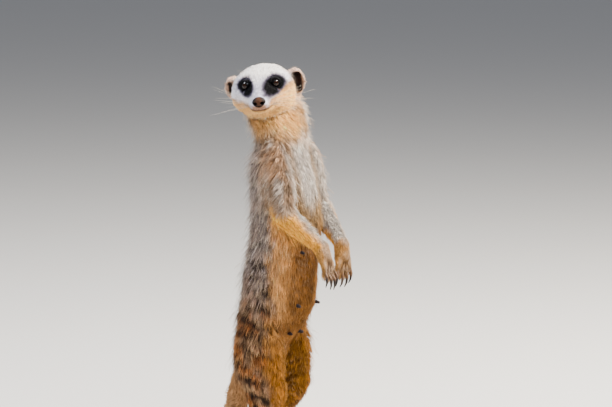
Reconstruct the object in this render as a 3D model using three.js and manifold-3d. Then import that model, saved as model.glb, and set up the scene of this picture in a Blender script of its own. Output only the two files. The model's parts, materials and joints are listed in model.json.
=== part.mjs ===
// A meerkat on watch, life size: upright on its hind feet and tail, head turned over its right shoulder.
// Millimetres, +Z up. The chest faces -Y and the animal's left is +X. The solids reach out to the tips of
// the coat.

import * as THREE from "three";
import { LoftGeometry } from "three/addons/geometries/LoftGeometry.js";
import { mergeVertices } from "three/addons/utils/BufferGeometryUtils.js";
import Module from "manifold-3d";

const wasm = await Module();
wasm.setup();

// ---- driving sizes ------------------------------------------------------------------------------

const SEAM = 0.3; // left free between neighbouring pieces
const FLOOR = 0;
const SOLE_SINK = 1.2; // how far feet and tail are modelled into the floor before they are cut flat
const NECK_BASE = 262; // heights of the cuts and joints
const KNEE = 62;
const HEAD_CENTRE = 309;
const HEAD_BACK = 8; // the head's centre lies this far behind the chest's, and to the animal's right
const HEAD_RIGHT = 9.5;
const HEAD_TURN = 62.5; // degrees that the face turns to the right of the chest
const HEAD_NOD = 11;
const HEAD_ROLL = 6; // its right ear hangs lower
const ELBOW = 205;
const ELBOW_OUT = 31.5; // from the middle to each elbow and wrist
const WRIST = 178.5;
const WRIST_OUT = 15;
const STANCE = 20; // from the middle to each foot
const TOE_OUT = 7; // degrees that each hind paw turns out
const HAND_IN = 6; // and each hand turns in
const EYE_RADIUS = 4.7;
const DIGITS = [-1.5, -0.5, 0.5, 1.5]; // four on each foot, counted from its middle

// An ear's centre in the head's frame, and its half height.
const EAR = { left: 26, front: -4, up: -1.5, tall: 11.2 };
const LAID_BACK_EAR = { left: 25, front: -4, up: -2.3, tall: 9.6 };

// The right elbow is carried further forward, its hand swings forward by more degrees, and the right
// shank and foot stand a step ahead of the left.
const SIDES = [
  { name: "left", side: 1, elbowFront: 19.5, wristFront: 52, hang: 7, ahead: 0, ear: EAR },
  { name: "right", side: -1, elbowFront: 26, wristFront: 50.5, hang: 24, ahead: 8, ear: LAID_BACK_EAR },
];

const LEFT = new THREE.Vector3(1, 0, 0);
const place = (left, front, up) => new THREE.Vector3(left, -front, up);
const stationAt = (at, wide, deep = wide) => ({ at, wide, deep });
const station = (left, front, up, wide, deep) => stationAt(place(left, front, up), wide, deep);
const radians = THREE.MathUtils.degToRad;

// ---- solids -------------------------------------------------------------------------------------

// A closed three.js geometry as a manifold-3d solid.
function solid(geometry) {
  const bare = new THREE.BufferGeometry()
    .setAttribute("position", geometry.getAttribute("position"))
    .setIndex(geometry.index);
  const merged = mergeVertices(bare, 1e-3);
  return new wasm.Manifold(
    new wasm.Mesh({
      numProp: 3,
      vertProperties: merged.attributes.position.array,
      triVerts: new Uint32Array(merged.index.array),
    }),
  );
}

// A solid back as a flat-shaded three.js geometry.
function geometryOf(made) {
  const mesh = made.getMesh();
  const positions = new Float32Array(mesh.numVert * 3);
  for (let i = 0; i < mesh.numVert; i++) {
    const first = i * mesh.numProp;
    positions.set(mesh.vertProperties.subarray(first, first + 3), i * 3);
  }
  const geometry = new THREE.BufferGeometry();
  geometry.setAttribute("position", new THREE.BufferAttribute(positions, 3));
  geometry.setIndex(new THREE.BufferAttribute(mesh.triVerts, 1));
  const flat = geometry.toNonIndexed();
  flat.computeVertexNormals();
  return flat;
}

// A solid cut in two, with a seam between, where a plane crosses it: [before the plane, beyond it].
function parted(made, point, along) {
  const normal = along.clone().normalize();
  const reach = normal.dot(point);
  const before = made.trimByPlane(normal.clone().negate().toArray(), SEAM / 2 - reach);
  const beyond = made.trimByPlane(normal.toArray(), reach + SEAM / 2);
  return [before, beyond];
}

// Cut flat where it would sink into the floor.
const standing = (made) => made.trimByPlane([0, 0, 1], FLOOR);

const ball = (radius, at) => new THREE.SphereGeometry(radius, 12, 8).translate(...at.toArray());

// An ellipsoid with its half sizes across, front to back and up.
function egg(across, deep, tall, at, grow = 0, rings = [12, 8]) {
  return new THREE.SphereGeometry(1, ...rings)
    .scale(across + grow, deep + grow, tall + grow)
    .translate(...at.toArray());
}

// ---- limbs --------------------------------------------------------------------------------------

// One ring of a limb: an ellipse, or a fuller curve where corners is over 2.
function ring(centre, side, out, wide, deep, sides, corners) {
  const full = (value) => Math.sign(value) * Math.abs(value) ** (2 / corners);
  return Array.from({ length: sides }, (_, i) => {
    const angle = (i / sides) * 2 * Math.PI;
    return centre
      .clone()
      .addScaledVector(side, wide * full(Math.cos(angle)))
      .addScaledVector(out, deep * full(Math.sin(angle)));
  });
}

// A rounded limb through its stations. Its rings stand square to its line, or level where asked, and turns
// are the rings that round its ends, in degrees. grow swells it all round, for cutting its neighbours.
function limb(stations, options = {}, grow = 0) {
  const { sides = 12, steps = 12, level = false, corners = 2, tip = 0.8, turns = [30, 58, 80] } = options;
  const line = new THREE.CatmullRomCurve3(stations.map((s) => s.at));
  const girth = new THREE.CatmullRomCurve3(stations.map((s) => place(s.wide, s.deep, 0)));
  const ends = [
    { u: 0, way: -1 },
    { u: 1, way: 1 },
  ];
  const at = (u, shift = 0, shrink = 1) => {
    const tangent = level ? new THREE.Vector3(0, 0, Math.sign(line.getTangent(u).z)) : line.getTangent(u);
    const side = LEFT.clone().addScaledVector(tangent, -LEFT.dot(tangent)).normalize();
    const out = new THREE.Vector3().crossVectors(tangent, side);
    const size = girth.getPoint(u);
    const centre = line.getPoint(u).addScaledVector(tangent, shift);
    return ring(centre, side, out, (size.x + grow) * shrink, (grow - size.y) * shrink, sides, corners);
  };
  // Each end is rounded off by rings on a quarter circle.
  const rounded = ({ u, way }) => {
    const size = girth.getPoint(u);
    const reach = (Math.min(size.x, -size.y) + grow) * tip;
    return turns.map((turn) => at(u, way * reach * Math.sin(radians(turn)), Math.cos(radians(turn))));
  };
  const sections = [
    ...rounded(ends[0]).reverse(),
    ...Array.from({ length: steps + 1 }, (_, i) => at(i / steps)),
    ...rounded(ends[1]),
  ];
  return new LoftGeometry(sections, { capStart: true, capEnd: true });
}

// ---- trunk and neck -----------------------------------------------------------------------------

// Level sections from the crotch to inside the head: left, front, up, half width, half depth.
const TORSO = [
  station(0, -9, 91, 21, 16.5),
  station(0, -8, 101, 28.5, 24.5),
  station(0, -6, 111, 31.5, 29.5),
  station(0, 0, 127, 31, 32),
  station(0, 2.5, 152, 30.5, 31.5),
  station(0, 6, 177, 29.5, 30),
  station(0, 7.5, 200, 28, 30.5),
  station(0, 6, 218, 27, 29.5),
  station(0, 3.5, 236, 26.5, 27.5),
  station(0, 2.5, 250, 25, 23.5),
  station(0, 3, NECK_BASE, 23.5, 21.5),
  station(0.4, 0.5, 274, 24.8, 24.5),
  station(1.5, -2.5, 284, 25.4, 25.2),
  station(2.6, -4, 294, 22, 22),
];
const torso = (grow = 0) => limb(TORSO, { sides: 18, steps: 18, level: true }, grow);

// ---- head, in its own frame: its centre between the ears, the nose towards -Y -------------------

// Sections from the nape to the lips: how far forward each is, the level of its widest line, its half
// width, and its height above and depth below that line.
const HEAD = [
  { front: -19, level: -2, wide: 10.5, above: 9, below: 9.5 },
  { front: -15.5, level: -2.5, wide: 17, above: 14.2, below: 14.5 },
  { front: -9, level: -3, wide: 22.5, above: 18, below: 19 },
  { front: 0, level: -3.5, wide: 25.5, above: 19, below: 21 },
  { front: 9, level: -4, wide: 26, above: 19, below: 20.5 },
  { front: 18, level: -4.5, wide: 22.5, above: 17.8, below: 17 },
  { front: 26, level: -4.5, wide: 16.5, above: 12.8, below: 13 },
  { front: 33, level: -5, wide: 11.2, above: 9, below: 10.2 },
  { front: 40, level: -5, wide: 8.5, above: 6.9, below: 8.8 },
  { front: 46, level: -4.6, wide: 7, above: 5.4, below: 7.4 },
];
const HEAD_SIDES = 20;
const HEAD_STEPS = 13;
const CROWN = 2.15; // the head's section is fuller than a round, most of all below the widest line
const CHEEKS = 2.5;
const NAPE_BULGE = 0.2; // how far each end rounds out, as a share of its half width
const LIP_BULGE = 0.6;

// Soft swellings and hollows on both sides of the face: where they are, how far they reach and their push,
// as left, front and up.
const FACE = [
  { at: [9.5, 24, 12], reach: 6, push: [0.8, 1.4, 1.2] }, // brow
  { at: [13, 23, 6.5], reach: 5.5, push: [-1.2, -1.4, 0] }, // eye socket
  { at: [22, 12, -9], reach: 9, push: [1.6, 1.2, -0.6] }, // cheek
  { at: [9, 32, 0], reach: 5, push: [-1.1, -0.3, 0] }, // side of the muzzle
  { at: [7.5, 41, -6], reach: 4.5, push: [1.1, 0.6, -0.2] }, // whisker pad
];

function headSection({ front, level, wide, above, below }, grow) {
  return Array.from({ length: HEAD_SIDES }, (_, i) => {
    const angle = (i / HEAD_SIDES) * 2 * Math.PI;
    const [tall, corners] = angle < Math.PI ? [above, CROWN] : [below, CHEEKS];
    const full = (value) => Math.sign(value) * Math.abs(value) ** (2 / corners);
    const left = full(Math.cos(angle)) * (wide + grow);
    return place(left, front, level + full(Math.sin(angle)) * (tall + grow));
  });
}

function headForm(grow = 0) {
  const keys = ["front", "level", "wide", "above", "below"];
  const tracks = keys.map((key) => new THREE.SplineCurve(HEAD.map((s, i) => new THREE.Vector2(i, s[key]))));
  const at = (u) => Object.fromEntries(keys.map((key, i) => [key, tracks[i].getPoint(u).y]));
  const capped = (u, bulge, turn) => {
    const s = at(u);
    const shrink = Math.cos(radians(turn));
    return {
      front: s.front + Math.sin(radians(turn)) * (s.wide * bulge + Math.sign(bulge) * grow),
      level: s.level,
      wide: s.wide * shrink,
      above: s.above * shrink,
      below: s.below * shrink,
    };
  };
  const turns = [30, 58, 80];
  const sections = [
    ...turns.map((turn) => capped(0, -NAPE_BULGE, turn)).reverse(),
    ...Array.from({ length: HEAD_STEPS + 1 }, (_, i) => at(i / HEAD_STEPS)),
    ...turns.map((turn) => capped(1, LIP_BULGE, turn)),
  ];
  const form = new LoftGeometry(
    sections.map((s) => headSection(s, grow)),
    { capStart: true, capEnd: true },
  );
  return shaped(form);
}

// Moves each point of the head by the features near it.
function shaped(geometry) {
  const points = geometry.getAttribute("position");
  const point = new THREE.Vector3();
  for (let i = 0; i < points.count; i++) {
    point.fromBufferAttribute(points, i);
    const moved = point.clone();
    for (const { at, reach, push } of FACE)
      for (const { side } of SIDES) {
        const near = Math.exp(-point.distanceToSquared(place(side * at[0], at[1], at[2])) / reach ** 2);
        moved.addScaledVector(place(side * push[0], push[1], push[2]), near);
      }
    points.setXYZ(i, ...moved.toArray());
  }
  return geometry;
}

const EYE = place(11.3, 18.8, 5.2); // the left eye's centre
const NOSE = place(0, 46.5, -2.4);
const NOSTRIL = place(2.9, 50.2, -2.6);

const mirrored = (at, side) => at.clone().setX(at.x * side);
const eyeball = (side, grow = 0) => ball(EYE_RADIUS + grow, mirrored(EYE, side));
const nosePad = (grow = 0) => egg(5.8, 4.4, 4.4, NOSE, grow, [10, 7]);

function headSolid() {
  return [...SIDES.map(({ side }) => eyeball(side, SEAM)), nosePad(SEAM)].reduce(
    (made, cutter) => made.subtract(solid(cutter)),
    solid(headForm()),
  );
}

function noseSolid() {
  return SIDES.reduce(
    (made, { side }) => made.subtract(solid(egg(1.3, 2.6, 1.2, mirrored(NOSTRIL, side), 0, [7, 5]))),
    solid(nosePad()),
  );
}

// A crescent ear: an upright shell, open to the front and side, with its rim behind.
const EAR_RIM = 2.2;
const earAt = ({ side, ear }) => place(side * ear.left, ear.front, ear.up);
const earShell = (pose, grow = 0) => egg(8.5, 6.5, pose.ear.tall, earAt(pose), grow);

function earSolid(pose) {
  const hollowAt = earAt(pose).add(place(pose.side * 2.5, 4.3, 0));
  const hollow = egg(8.4, 5.6, pose.ear.tall - EAR_RIM, hollowAt, 0, [10, 7]);
  return solid(earShell(pose)).subtract(solid(hollow)).subtract(solid(headForm(SEAM)));
}

// ---- arms ---------------------------------------------------------------------------------------

// The way that the cut at the elbow faces.
const ELBOW_CUT = { in: 10, front: 26, down: 46 };
const elbowAt = ({ side, elbowFront }) => place(side * ELBOW_OUT, elbowFront, ELBOW);
const wristAt = ({ side, wristFront }) => place(side * WRIST_OUT, wristFront, WRIST);

function armStations(pose) {
  const [elbow, wrist] = [elbowAt(pose), wristAt(pose)];
  const forearm = (share) => elbow.clone().lerp(wrist, share);
  return [
    station(pose.side * 12, 6, 266, 7),
    station(pose.side * 20, 12, 256, 10),
    station(pose.side * 25.5, 16.5, 240, 11.5),
    station(pose.side * 28.5, pose.elbowFront - 3, 222, 11, 12.5),
    stationAt(elbow, 10.5, 11.5),
    stationAt(forearm(0.5), 8, 9),
    stationAt(forearm(0.9), 6.8, 7),
    stationAt(forearm(1.1), 6.2),
  ];
}
const arm = (pose) => limb(armStations(pose), { sides: 10, steps: 12, turns: [35, 70] });

// ---- paws ---------------------------------------------------------------------------------------

// A forepaw in its own frame: the wrist at the origin, the digits hanging down, its back to the front.
const PALM = [
  station(0, 0, -1, 5.4, 5.4),
  station(0, 1, -6, 7.4, 6),
  station(0, 0.8, -12, 7.8, 5.4),
  station(0, 0, -16, 6.6, 4.2),
];
const DIGIT_GAP = 3.9;
const FINGER_SPREAD = 1.6; // how much further apart the tips are
const FINGER_LENGTHS = [9, 11.5, 12, 9.5];
const CLAW_LENGTH = 12;
const CLAW = { sides: 5, steps: 3, tip: 0.6, turns: [] };

const palm = () => limb(PALM, { sides: 10, steps: 4, turns: [35, 70] });

// One finger and its claw, counted by its place across the hand.
function finger(index) {
  const left = DIGITS[index] * DIGIT_GAP;
  const spread = DIGITS[index] * FINGER_SPREAD;
  const tip = -14 - FINGER_LENGTHS[index];
  const digit = (grow = 0) =>
    limb(
      [
        station(left, 0.5, -11, 2.1, 3),
        station(left + spread * 0.6, 1.2, -17, 2, 2.6),
        station(left + spread, 0, tip, 1.9, 2.3),
      ],
      { sides: 6, steps: 2, turns: [50] },
      grow,
    );
  const claw = limb(
    [
      station(left + spread, 0.6, tip + 1, 1.3, 1.6),
      station(left + spread * 1.2, 1.2, tip - CLAW_LENGTH * 0.35, 1.1, 1.4),
      station(left + spread * 1.25, -0.6, tip - CLAW_LENGTH * 0.75, 0.75, 0.9),
      station(left + spread * 1.25, -3, tip - CLAW_LENGTH, 0.3),
    ],
    CLAW,
  );
  return { digit, claw };
}

// A hind paw in its own frame: the origin under its middle, the toes to the front, its sole on the floor.
const HEEL_BACK = 22;
const BALL_FRONT = 20;
const SOLE = [
  station(0, -HEEL_BACK, 7, 6.2, 8.2),
  station(0, -12, 8.5, 8.2, 9.7),
  station(0, 2, 6.2, 8.2, 7.4),
  station(0, 14, 4.8, 9.4, 6),
  station(0, BALL_FRONT, 4, 9.2, 4.8),
];
const TOE_GAP = 4.7;
const TOE_SPREAD = 1.5;
const TOE_LENGTHS = [13, 16.5, 16.5, 13];
const TOE_THICK = 3.3;
const HIND_CLAW_LENGTH = 8;

const sole = () => limb(SOLE, { sides: 12, steps: 5, corners: 2.4, turns: [35, 70] });

function toe(index) {
  const left = DIGITS[index] * TOE_GAP;
  const spread = DIGITS[index] * TOE_SPREAD;
  const tip = BALL_FRONT + TOE_LENGTHS[index];
  const low = TOE_THICK - SOLE_SINK;
  const digit = (grow = 0) =>
    limb(
      [
        station(left * 0.8, BALL_FRONT - 5, low + 2, 2.6, TOE_THICK + 1.4),
        station(left + spread * 0.5, BALL_FRONT + 6, low + 1.6, 2.4, 3.6),
        station(left + spread, tip - 2.4, low, 2.3, TOE_THICK),
      ],
      { sides: 6, steps: 2, turns: [50] },
      grow,
    );
  const claw = limb(
    [
      station(left + spread, tip - 2, low + 1.5, 1.3, 1.5),
      station(left + spread * 1.15, tip + HIND_CLAW_LENGTH * 0.4, low + 1.9, 1, 1.2),
      station(left + spread * 1.25, tip + HIND_CLAW_LENGTH, 0.9, 0.35),
    ],
    CLAW,
  );
  return { digit, claw };
}

// A paw as one solid with its claws: everything is moved by the paw's group first.
function pawSolids(form, digits, holder) {
  holder.updateMatrixWorld(true);
  const moved = (geometry) => solid(geometry.applyMatrix4(holder.matrixWorld));
  const paw = digits.reduce((made, { digit }) => made.add(moved(digit())), moved(form));
  const claws = digits.map(({ claw, digit }) => moved(claw).subtract(moved(digit(SEAM))));
  return { paw, claws };
}

function holderAt(at, turn, side) {
  const holder = new THREE.Group();
  holder.position.copy(at);
  holder.rotation.set(radians(turn.x ?? 0), radians(turn.y ?? 0) * side, radians(turn.z ?? 0) * side);
  return holder;
}

// ---- legs ---------------------------------------------------------------------------------------

const ANKLE_BACK = 17.5;
const ANKLE = 17; // height of the cut between shank and foot
const ANKLE_IN_PAW = -11; // how far forward it is in the paw's own frame

function legStations({ side, ahead }) {
  return [
    station(side * 14, -7, 126, 11, 16),
    station(side * 18, -6.5, 110, 15, 20.5),
    station(side * STANCE, -6, 92, 15.5, 25),
    station(side * STANCE, -5.5, 77, 15, 25.3),
    station(side * STANCE, -5.5 + ahead * 0.1, KNEE + 3, 14, 24.5),
    station(side * STANCE, -2.5 + ahead * 0.4, 55, 12.8, 21),
    station(side * STANCE, -6.5 + ahead, 43, 11.2, 18),
    station(side * STANCE, -10.5 + ahead, 32, 9.6, 13),
    station(side * STANCE, -15.5 + ahead, 21, 8.2, 9),
    station(side * STANCE, -ANKLE_BACK + ahead, 12, 6.8, 8),
  ];
}
const leg = (pose, grow = 0) => limb(legStations(pose), { sides: 12, steps: 13, level: true }, grow);

// ---- tail ---------------------------------------------------------------------------------------

// It drops from the rump, props the animal from behind and then lies along the floor, curving to the left.
const TAIL = [
  station(0, -18, 104, 12),
  station(0, -26, 84, 12),
  station(0, -31, 66, 11),
  station(0, -37, 51, 11),
  station(0, -41, 38, 10.5),
  station(0.5, -47, 25, 8.6),
  station(1.5, -58, 12, 7.6),
  station(4, -75, 5.8, 6.8),
  station(10, -96, 5, 6.1),
  station(20, -116, 4.2, 5.4),
  station(34, -132, 3.4, 4.5),
  station(48, -142, 2.2, 3),
];
const TAIL_CUTS = [0.3, 0.56, 0.8]; // shares of its stations where it is parted
const tail = () => limb(TAIL, { sides: 10, steps: 20, tip: 1.6 });

function tailSolids(body) {
  const line = new THREE.CatmullRomCurve3(TAIL.map((s) => s.at));
  let rest = standing(solid(tail())).subtract(body);
  const lengths = [];
  for (const share of TAIL_CUTS) {
    const [before, beyond] = parted(rest, line.getPoint(share), line.getTangent(share));
    lengths.push(before);
    rest = beyond;
  }
  return [...lengths, rest];
}

// ---- teats --------------------------------------------------------------------------------------

// Three pairs down the belly.
const TEATS = [
  { up: 172, out: 13.5 },
  { up: 127, out: 13.5 },
  { up: 102, out: 7.5 },
];

// A teat stands on the belly's surface, found on the torso's level section at its height.
function teat(side, { up, out }) {
  const above = TORSO.findIndex((s) => s.at.z > up);
  const [low, high] = [TORSO[above - 1], TORSO[above]];
  const share = (up - low.at.z) / (high.at.z - low.at.z);
  const mix = (pick) => THREE.MathUtils.lerp(pick(low), pick(high), share);
  const front = mix((s) => -s.at.y) + mix((s) => s.deep) * Math.sqrt(1 - (out / mix((s) => s.wide)) ** 2);
  const root = station(side * out, front - 2, up, 2);
  const tip = station(side * (out + 1), front + 2.6, up - 1, 1.3);
  return limb([root, tip], { sides: 6, steps: 1, turns: [50] });
}

// ---- finishes -----------------------------------------------------------------------------------

const finish = (color, roughness) => new THREE.MeshStandardMaterial({ color, roughness, metalness: 0 });
const COAT = finish(0xa98a62, 0.9);
const PALE_COAT = finish(0xd8cbb8, 0.9);
const EYE_FINISH = finish(0x1b120d, 0.1);
const NOSE_FINISH = finish(0x4a2d1e, 0.45);
const CLAW_FINISH = finish(0x2c2119, 0.4);
const TEAT_FINISH = finish(0x1d1a1c, 0.6);

// ---- assembly -----------------------------------------------------------------------------------

const meerkat = new THREE.Group();

function add(name, made, material, parent = meerkat) {
  const mesh = new THREE.Mesh(geometryOf(made), material);
  mesh.name = name;
  parent.add(mesh);
  return mesh;
}

const head = new THREE.Group();
head.position.copy(place(-HEAD_RIGHT, -HEAD_BACK, HEAD_CENTRE));
head.rotation.set(radians(HEAD_NOD), radians(-HEAD_ROLL), radians(-HEAD_TURN), "ZYX");
meerkat.add(head);
head.updateMatrixWorld(true);
const headGrown = [headForm(SEAM), ...SIDES.map((pose) => earShell(pose, SEAM))]
  .map((form) => solid(form.applyMatrix4(head.matrixWorld)))
  .reduce((made, form) => made.add(form));

add("head", headSolid(), PALE_COAT, head);
add("nose", noseSolid(), NOSE_FINISH, head);
for (const pose of SIDES) {
  add(`eye_${pose.name}`, solid(eyeball(pose.side)), EYE_FINISH, head);
  add(`ear_${pose.name}`, earSolid(pose), PALE_COAT, head);
}

const [trunk, neck] = parted(solid(torso()), place(0, 0, NECK_BASE), new THREE.Vector3(0, 0, 1));
const torsoGrown = solid(torso(SEAM));
add("trunk", trunk, COAT);
add("neck", neck.subtract(headGrown), PALE_COAT);

const DOWN = new THREE.Vector3(0, 0, -1);

function addArm(pose) {
  const { name, side, hang } = pose;
  const [elbow, wrist] = [elbowAt(pose), wristAt(pose)];
  const whole = solid(arm(pose)).subtract(torsoGrown).subtract(headGrown);
  const elbowWay = place(-side * ELBOW_CUT.in, ELBOW_CUT.front, -ELBOW_CUT.down);
  const [upperArm, lower] = parted(whole, elbow, elbowWay);
  const holder = holderAt(wrist, { x: -hang, z: -HAND_IN }, side);
  const forepaw = pawSolids(palm(), DIGITS.map((_, i) => finger(i)), holder);
  const along = wrist.clone().sub(elbow);
  const [forearm] = parted(lower, wrist, along);
  const [, hand] = parted(forepaw.paw.add(lower), wrist, along);
  add(`upper_arm_${name}`, upperArm, COAT);
  add(`forearm_${name}`, forearm, COAT);
  add(`hand_${name}`, hand, COAT);
  forepaw.claws.forEach((claw, i) => add(`fore_claw_${name}_${i + 1}`, claw, CLAW_FINISH));
}

function addLeg(pose) {
  const { name, side, ahead } = pose;
  const [thigh, lower] = parted(solid(leg(pose)), place(0, 0, KNEE), DOWN);
  const pawAt = place(side * STANCE, ahead - ANKLE_BACK - ANKLE_IN_PAW, FLOOR);
  const holder = holderAt(pawAt, { z: TOE_OUT }, side);
  const hindpaw = pawSolids(sole(), DIGITS.map((_, i) => toe(i)), holder);
  const [shank] = parted(lower, place(0, 0, ANKLE), DOWN);
  const [, foot] = parted(hindpaw.paw.add(lower), place(0, 0, ANKLE), DOWN);
  add(`thigh_${name}`, thigh.subtract(torsoGrown), COAT);
  add(`shank_${name}`, shank, COAT);
  add(`foot_${name}`, standing(foot), COAT);
  hindpaw.claws.forEach((claw, i) => add(`hind_claw_${name}_${i + 1}`, standing(claw), CLAW_FINISH));
}

for (const pose of SIDES) {
  addArm(pose);
  addLeg(pose);
  TEATS.forEach((spot, i) =>
    add(`teat_${pose.name}_${i + 1}`, solid(teat(pose.side, spot)).subtract(torsoGrown), TEAT_FINISH),
  );
}

const body = SIDES.reduce((made, pose) => made.add(solid(leg(pose, SEAM))), torsoGrown);
tailSolids(body).forEach((length, i) => add(`tail_${i + 1}`, length, COAT));

// The part's origin is on the floor, under the middle of its bounding box.
const box = new THREE.Box3().setFromObject(meerkat, true);
const middle = box.getCenter(new THREE.Vector3());
meerkat.position.set(-middle.x, -middle.y, -FLOOR);

const part = new THREE.Group();
part.add(meerkat);
export default part;
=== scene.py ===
"""The looks of a still, life-size meerkat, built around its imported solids.

One skin replaces every solid of flesh and lies inside it by the coat's depth. The coat is solid tufts,
rooted on the skin, that reach out to the solids' surface. Lengths are in metres, in the solids' frame:
+Z up, the chest faces -Y and the animal's left side is +X.
"""

import json
import math

import bmesh
import bpy
import numpy as np
from mathutils.kdtree import KDTree
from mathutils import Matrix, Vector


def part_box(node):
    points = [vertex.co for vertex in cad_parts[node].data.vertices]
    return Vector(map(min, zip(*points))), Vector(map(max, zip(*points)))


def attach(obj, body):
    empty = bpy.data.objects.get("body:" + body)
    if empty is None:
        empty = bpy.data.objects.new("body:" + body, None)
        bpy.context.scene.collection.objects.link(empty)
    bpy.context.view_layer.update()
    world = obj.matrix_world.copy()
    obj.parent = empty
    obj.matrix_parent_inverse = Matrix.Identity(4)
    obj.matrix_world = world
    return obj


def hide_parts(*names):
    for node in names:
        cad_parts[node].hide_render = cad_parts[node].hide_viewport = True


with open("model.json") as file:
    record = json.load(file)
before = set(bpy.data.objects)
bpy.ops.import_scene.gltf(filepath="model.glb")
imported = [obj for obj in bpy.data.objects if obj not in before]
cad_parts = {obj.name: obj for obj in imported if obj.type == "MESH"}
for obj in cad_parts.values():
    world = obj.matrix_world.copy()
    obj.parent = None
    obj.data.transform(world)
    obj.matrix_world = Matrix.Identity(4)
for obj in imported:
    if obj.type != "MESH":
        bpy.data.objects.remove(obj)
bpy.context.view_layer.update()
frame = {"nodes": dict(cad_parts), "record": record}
MM = 0.001
SEED = 11

# ---- driving sizes ----

VOXEL = 0.95 * MM  # grid that the skin is first made on
SEAM = 0.35 * MM  # closes the gaps between neighbouring solids
BRIDGE = 8 * MM  # radius of the fillets that the skin forms in grooves between solids
BRIDGE_VOXEL = 1.6 * MM
EYE_RADIUS = 4.7 * MM
EYE_OUT = 24  # degrees that each eye looks out to its side
LID_THICK = 0.45 * MM
LID_WIDE = 49  # half the opening between the lids, in degrees seen from the ball's centre
LID_TALL = 42
PATCH = 0.003  # how wide one tuft's patch is on its unwrap
# The two coats. Rings are shares of a tuft's length, and girths are shares of its width; long, wide and
# stand scale its size, and wisps is the share of tufts that stand out.
UNDERCOAT = dict(
    tufts=112_000, pieces=6, rings=(0.0, 0.5), girth=(0.8, 1.0), long=1.0, wide=1.0, wisps=0.03, stand=0.8
)
GUARD_HAIRS = dict(
    tufts=20_000, pieces=2, rings=(0.0, 0.36, 0.72), girth=(0.8, 1.0, 0.6), long=1.35, wide=0.62, wisps=0.55,
    stand=1.6,
)
CLUMP = 9  # tufts that lean together, on average
CLUMP_REACH = 7 * MM

FLESH = [item["node"] for item in frame["record"]["subparts"] if item["material_slot"] == "coat"]
CLAWS = sorted(n for n in frame["nodes"] if "claw" in n)
TEATS = sorted(n for n in frame["nodes"] if n.startswith("teat"))

# ---- small tools ----


def read(items, key, width, kind=float):
    """One measure of every item, as the rows of an array."""
    values = np.empty(len(items) * width, kind)
    items.foreach_get(key, values)
    return values.reshape(-1, width)


def points_of(*nodes):
    return np.concatenate([read(frame["nodes"][node].data.vertices, "co", 3) for node in nodes])


def centre(node):
    low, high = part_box(node)
    return np.array((low + high) / 2)


def lengths(vectors):
    return np.linalg.norm(vectors, axis=-1)


def unit(vectors):
    return vectors / np.maximum(lengths(vectors), 1e-12)[..., None]


def tangent(vectors, normals):
    """The part of each vector that lies in the surface."""
    return unit(vectors - normals * np.sum(vectors * normals, axis=1, keepdims=True))


def ramp(value, low, high):
    """0 below low, 1 above high, smooth between; low may be the higher of the two."""
    share = np.clip((value - low) / (high - low), 0, 1)
    return share * share * (3 - 2 * share)


# Each field of noise: its size in millimetres, its seed and how much of the height counts.
NOISE = {
    "band wobble": (13, 3, 1),
    "band breaks": (6, 4, 0.6),
    "back edge": (8, 5, 1),
    "back edge hairs": (3, 20, 0.35),
    "belly edge": (9, 5, 1),
    "breast edge": (4, 19, 0.35),
    "mottle": (3.2, 6, 1),
    "rufous": (8, 7, 1),
    "silver": (4.5, 15, 0.4),
    "shoulder": (5, 23, 1),
    "forearm": (6, 13, 1),
    "paw": (3, 25, 1),
    "tail": (5, 14, 1),
    "neck": (9, 10, 1),
    "nape": (4, 17, 0.5),
    "throat": (7, 18, 1),
    "face": (6, 9, 1),
    "eye patch": (2.5, 16, 1),
    "lie of hair": (18, 8, 1),
    "gold": (14, 24, 1),
    "claw": (4, 21, 1),
    "teat": (3, 22, 1),
}
NOISE_CELLS = 32


def noise(points, name):
    """Smooth noise from -1 to 1."""
    size, seed, upwards = NOISE[name]
    lattice = np.random.default_rng(seed).uniform(-1, 1, (NOISE_CELLS, NOISE_CELLS, NOISE_CELLS))
    scaled = points * (1, 1, upwards) / (size * MM)
    cell = np.floor(scaled).astype(int)
    share = scaled - cell
    share = share * share * (3 - 2 * share)
    total = np.zeros(len(points))
    for corner in np.ndindex(2, 2, 2):
        at = (cell + corner) % NOISE_CELLS
        weight = np.prod(np.where(corner, share, 1 - share), axis=1)
        total += weight * lattice[at[:, 0], at[:, 1], at[:, 2]]
    return total


def srgb(red, green, blue):
    """A colour as seen, 0 to 255, as linear light."""
    value = np.array((red, green, blue)) / 255
    return np.where(value > 0.04045, ((value + 0.055) / 1.055) ** 2.4, value / 12.92)


def mix(a, b, share):
    share = np.asarray(share)[..., None]
    return a * (1 - share) + b * share


def layered(colour, *layers):
    """A colour with others laid over it, each by its own share."""
    for other, share in layers:
        colour = mix(colour, other, share)
    return colour


def new_object(name, mesh):
    made = bpy.data.objects.new(name, mesh)
    bpy.context.scene.collection.objects.link(made)
    return made


def mesh_of(bm, name):
    """A new mesh from a bmesh that is done with."""
    mesh = bpy.data.meshes.new(name)
    bm.to_mesh(mesh)
    bm.free()
    return mesh


def mesh_from(name, verts, faces):
    """A mesh from arrays of points and of equal-sided faces."""
    mesh = bpy.data.meshes.new(name)
    sides = faces.shape[1]
    mesh.vertices.add(verts.size // 3)
    mesh.vertices.foreach_set("co", np.ascontiguousarray(verts, np.float32).ravel())
    mesh.loops.add(faces.size)
    mesh.loops.foreach_set("vertex_index", np.ascontiguousarray(faces, np.int32).ravel())
    mesh.polygons.add(len(faces))
    mesh.polygons.foreach_set("loop_start", np.arange(0, faces.size, sides, dtype=np.int32))
    mesh.update(calc_edges=True)
    mesh.shade_smooth()
    return mesh


def set_points(mesh, points):
    mesh.vertices.foreach_set("co", points.astype(np.float32).ravel())
    mesh.update()
    mesh.shade_smooth()


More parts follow.
